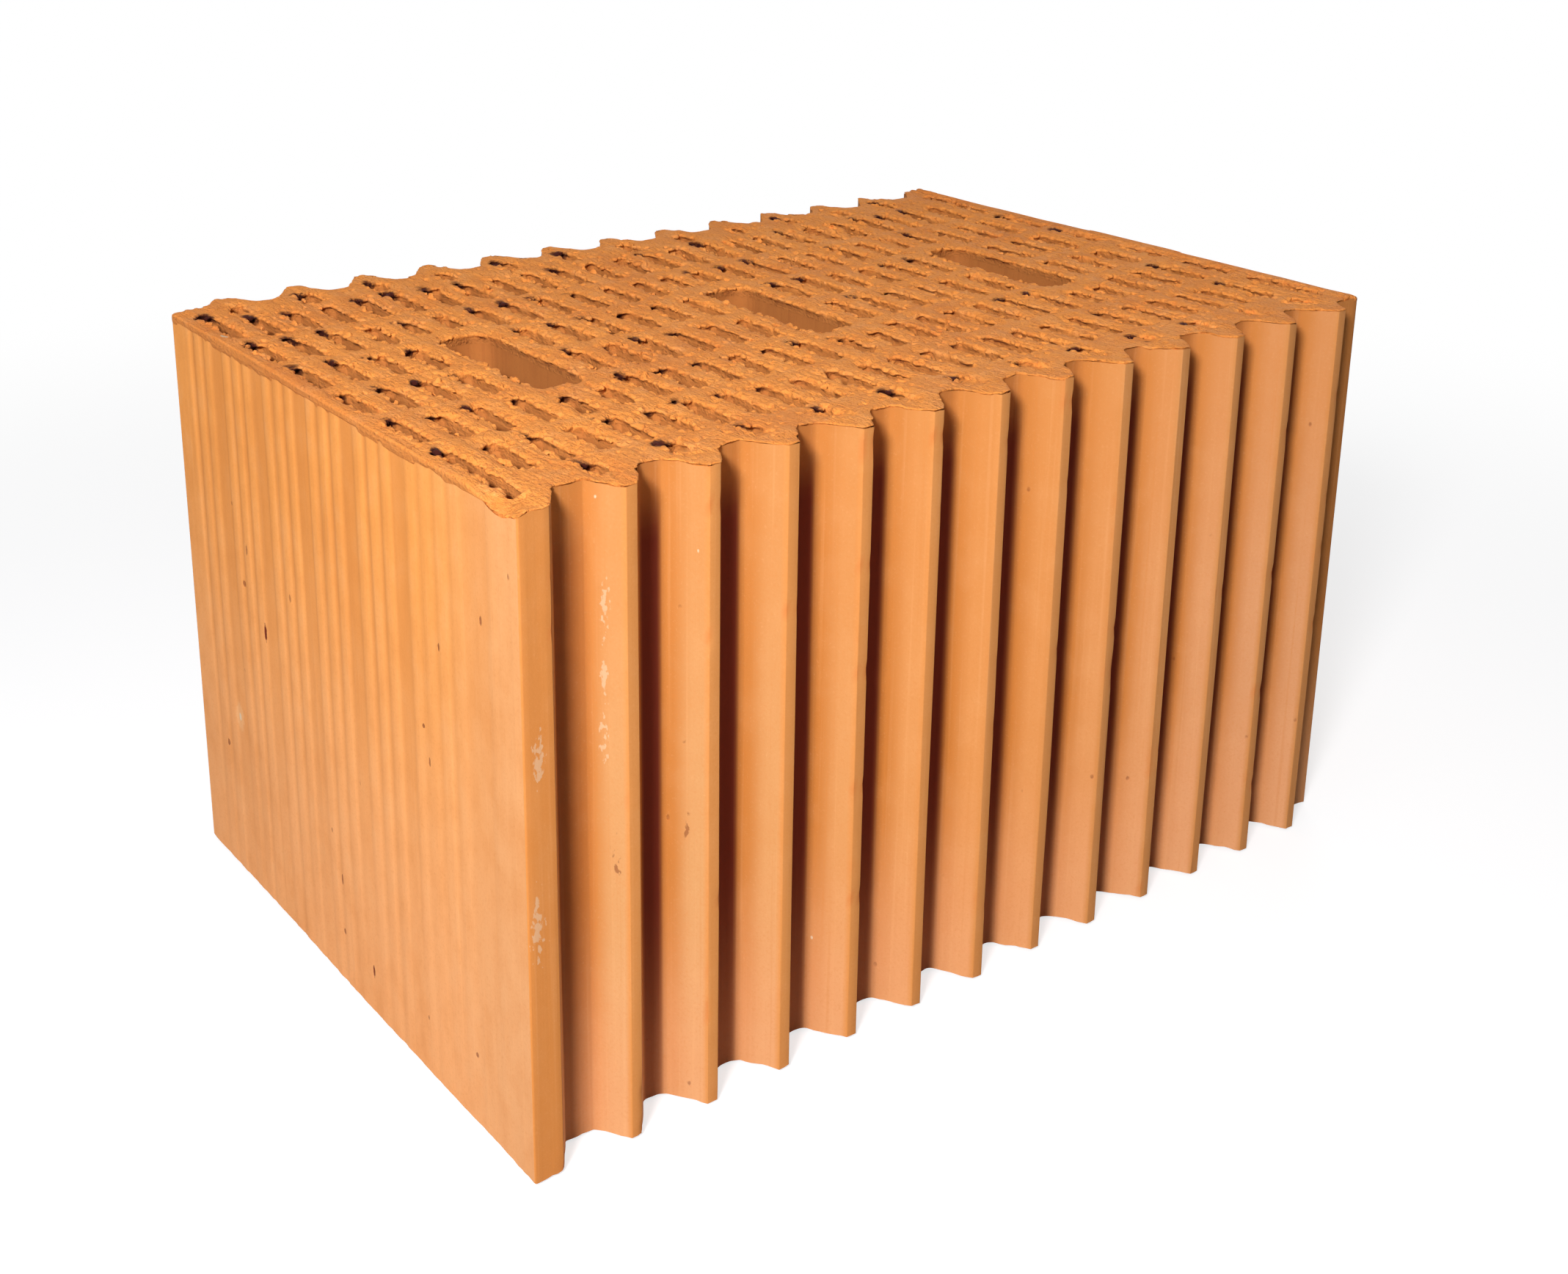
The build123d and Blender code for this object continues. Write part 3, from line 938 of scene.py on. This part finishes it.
def torn_clay():
    finish = Finish("torn_clay")
    colour, fine = clay_body(finish, TORN_CLAY, TORN_DEEP, PALE_CLAY)
    crumbs = finish.grain((1.2, 1.7, 1.2), 4.0, 0.65)
    dragged = finish.grain((1.1, 40, 1.1), 2.0)
    colour = finish.mix(colour, TORN_DEEP, crumbs.eased(0.48, 0.32) * 0.6 + dragged.eased(0.45, 0.3) * 0.25)
    colour = finish.mix(colour, PALE_CLAY, crumbs.eased(0.58, 0.75) * 0.3)
    colour = finish.mix(colour, BURNT_AND_SHADOW, crumbs.eased(0.34, 0.24) * 0.5)
    along = finish.place_on("X")
    colour = finish.mix(colour, TORN_DEEP, (along.eased(-0.181, -0.184) + along.eased(0.181, 0.184)) * 0.12)
    deep = finish.shade("deep")
    colour = finish.mix(colour, SLOT_CLAY, deep * 0.9)
    grip = finish.shade("grip")
    colour = finish.mix(colour, GRIP_CLAY, grip * 0.9)
    # Painted shadow under the overhanging lips
    crack_and_lip_shadow = finish.shade("crack_and_lip_shadow")
    colour = finish.mix(colour, BURNT_AND_SHADOW, crack_and_lip_shadow * 0.85)
    wobble = finish.grain((1.5, 1.5, 1.5), 2.0) * 0.8 - 0.4
    colour = finish.mix(colour, LIME, finish.spot(TOP_LIME, (1.4, 2.0, 3.0), wobble))
    # Painted shade inside the caves
    hollow_shade = finish.shade("hollow_shade")
    colour = finish.mix(colour, HOLLOW_SHADE, hollow_shade)
    relief = crumbs * 1.0 + dragged * 0.6 + fine * 0.7
    return finish.surface(colour, 0.94, finish.bump(relief, 1.0, 0.8))


def hole_clay(name, body, deep):
    finish = Finish(name)
    colour, fine = clay_body(finish, body, deep, body)
    drawn = finish.grain((1.8, 1.8, 120), 2.0)
    colour = finish.mix(colour, deep, drawn.eased(0.5, 0.25) * 0.3)
    return finish.surface(colour, 0.93, finish.bump(drawn + fine * 0.4, 0.5, 0.3))


faces_and_shades = [fluted_face(turn) for turn in (1, -1)]
clay_piece("fluted_faces", *joined([grid for grid, shade in faces_and_shades]), fluted_clay(),
           {"flute": np.concatenate([shade.ravel() for grid, shade in faces_and_shades])})
sides = [toothed_side(turn) for turn in (1, -1)]
side_shades = {name: np.concatenate([shades[name].ravel() for grid, shades in sides])
               for name in ("chip", "groove", "land", "flank")}
clay_piece("toothed_sides", *joined([grid for grid, shades in sides]), drawn_clay(), side_shades)
slot_levels, grip_levels = (np.linspace(HOLE_WALL_INSET, HEIGHT - HOLE_WALL_INSET, rows)
                            for rows in (SLOT_ROWS, GRIP_ROWS))
slot_walls = [upright_hole(slot_ring(*slot), slot_levels) for slot in SLOTS]
clay_piece("slot_walls", *joined(slot_walls), hole_clay("slot_clay", SLOT_CLAY, SLOT_DEEP))
grip_walls = [upright_hole(grip_ring(*grip), grip_levels) for grip in GRIPS]
clay_piece("grip_walls", *joined(grip_walls), hole_clay("grip_clay", GRIP_CLAY, GRIP_DEEP))
torn_finish = torn_clay()
UPPER_LAYERS = np.concatenate([np.arange(-0.7, 3.2, 0.55), (4.3, 5.6, 6.9)])
LOWER_LAYERS = np.arange(-1.7, 7.0, 1.7)
upper_bed = torn_bed(UPPER_CELL, UPPER_LAYERS, UPPER_BED, 1.0, 1.0, True)
clay_strips("torn_upper_bed", UPPER_STRIPS, *upper_bed[:2], torn_finish, upper_bed[2])
lower_bed = torn_bed(LOWER_CELL, LOWER_LAYERS, LOWER_BED, 0.5, 0.35, False)
clay_strips("torn_lower_bed", LOWER_STRIPS, *lower_bed[:2], torn_finish, lower_bed[2])

# Floor, air and lamps
WHITE = (1, 1, 1, 1)
FLOOR_REACH = 8.0
FLOOR_BOUNCE = (0.45, 0.45, 0.45, 1)
FLOOR_SHADOWED = (0.4, 0.4, 0.41, 1)
FLOOR_GLOW = 0.72
AIR_STRENGTH = 0.04
LAMP_AIM_HEIGHT = 0.12


def floor_finish():
    """Pale floor that bounces light, and looks white with the brick's shadow on it."""
    finish = Finish("pale_floor")
    bounce = finish.node("ShaderNodeBsdfDiffuse", {}, {"Color": FLOOR_BOUNCE})
    away = finish.node("ShaderNodeVectorMath", {"operation": "LENGTH"}, {0: finish.place}, output="Value")
    shadowed = finish.node("ShaderNodeBsdfDiffuse", {}, {"Color": FLOOR_SHADOWED})
    glow = finish.node("ShaderNodeEmission", {}, {"Color": WHITE, "Strength": FLOOR_GLOW})
    white = finish.node("ShaderNodeEmission", {}, {"Color": WHITE, "Strength": 1.0})
    near = finish.node("ShaderNodeAddShader", {}, {0: shadowed, 1: glow})
    seen = finish.node("ShaderNodeMixShader", {}, {0: away.eased(0.35, 0.95), 1: near, 2: white})
    cover = finish.node("ShaderNodeMixShader", {}, {0: finish.looked_at(), 1: bounce, 2: seen})
    finish.node("ShaderNodeOutputMaterial", {}, {"Surface": cover})
    return finish.owner


def pale_floor():
    mesh = bpy.data.meshes.new("pale_floor")
    signs = ((-1, -1), (1, -1), (1, 1), (-1, 1))
    corners = [(across * FLOOR_REACH, along * FLOOR_REACH, 0) for across, along in signs]
    mesh.from_pydata(corners, [], [(0, 1, 2, 3)])
    mesh.materials.append(floor_finish())
    floor = bpy.data.objects.new("pale_floor", mesh)
    bpy.context.scene.collection.objects.link(floor)


def studio_lamp(name, azimuth, elevation, distance, size, power):
    """A round soft lamp that points at the brick; azimuth is measured from -X towards -Y."""
    flat = math.cos(math.radians(elevation))
    way = np.array([-math.cos(math.radians(azimuth)) * flat, -math.sin(math.radians(azimuth)) * flat,
                    math.sin(math.radians(elevation))])
    lamp = bpy.data.lights.new(name, "AREA")
    lamp.shape, lamp.size, lamp.energy = "DISK", size, power
    placed = bpy.data.objects.new(name, lamp)
    side = np.cross((0, 0, 1), way)
    side /= np.linalg.norm(side)
    turned = Matrix(np.stack([side, np.cross(way, side), way], 1).tolist()).to_4x4()
    turned.translation = (way * distance + (0, 0, LAMP_AIM_HEIGHT)).tolist()
    placed.matrix_world = turned
    bpy.context.scene.collection.objects.link(placed)


def studio_air():
    """Dim air around the brick, and white where the camera looks past the floor."""
    air = Finish("studio_air", bpy.data.worlds)
    dim = air.node("ShaderNodeBackground", {}, {"Color": WHITE, "Strength": AIR_STRENGTH})
    white = air.node("ShaderNodeBackground", {}, {"Color": WHITE, "Strength": 1.0})
    cover = air.node("ShaderNodeMixShader", {}, {0: air.looked_at(), 1: dim, 2: white})
    air.node("ShaderNodeOutputWorld", {}, {"Surface": cover})
    bpy.context.scene.world = air.owner


def photo_camera():
    """Camera at the photograph's place; axes are its right, up and back directions."""
    lens = bpy.data.cameras.new("photo_camera")
    lens.sensor_fit, lens.sensor_width, lens.lens = "HORIZONTAL", 36.0, 43.948
    lens.shift_x, lens.shift_y = 0.0518, -0.1676
    lens.clip_start, lens.clip_end = 0.01, 50.0
    camera = bpy.data.objects.new("photo_camera", lens)
    right = (0.8099, -0.58656, 0.00254)
    down = (-0.16996, -0.23882, -0.95607)
    ahead = (0.56141, 0.77389, -0.29312)
    placed = Matrix(np.stack([right, np.negative(down), np.negative(ahead)], 1).tolist()).to_4x4()
    placed.translation = (-0.43099, -0.54727, 0.40408)
    camera.matrix_world = placed
    bpy.context.scene.collection.objects.link(camera)
    bpy.context.scene.camera = camera


pale_floor()
studio_lamp("key_lamp", azimuth=39, elevation=30, distance=1.25, size=0.22, power=15.8)
studio_lamp("top_lamp", azimuth=35.5, elevation=75, distance=1.75, size=0.8, power=4.2)
studio_lamp("back_lamp", azimuth=218, elevation=14, distance=2.2, size=1.2, power=16)
studio_air()
photo_camera()
bpy.context.scene.view_settings.view_transform = "Standard"
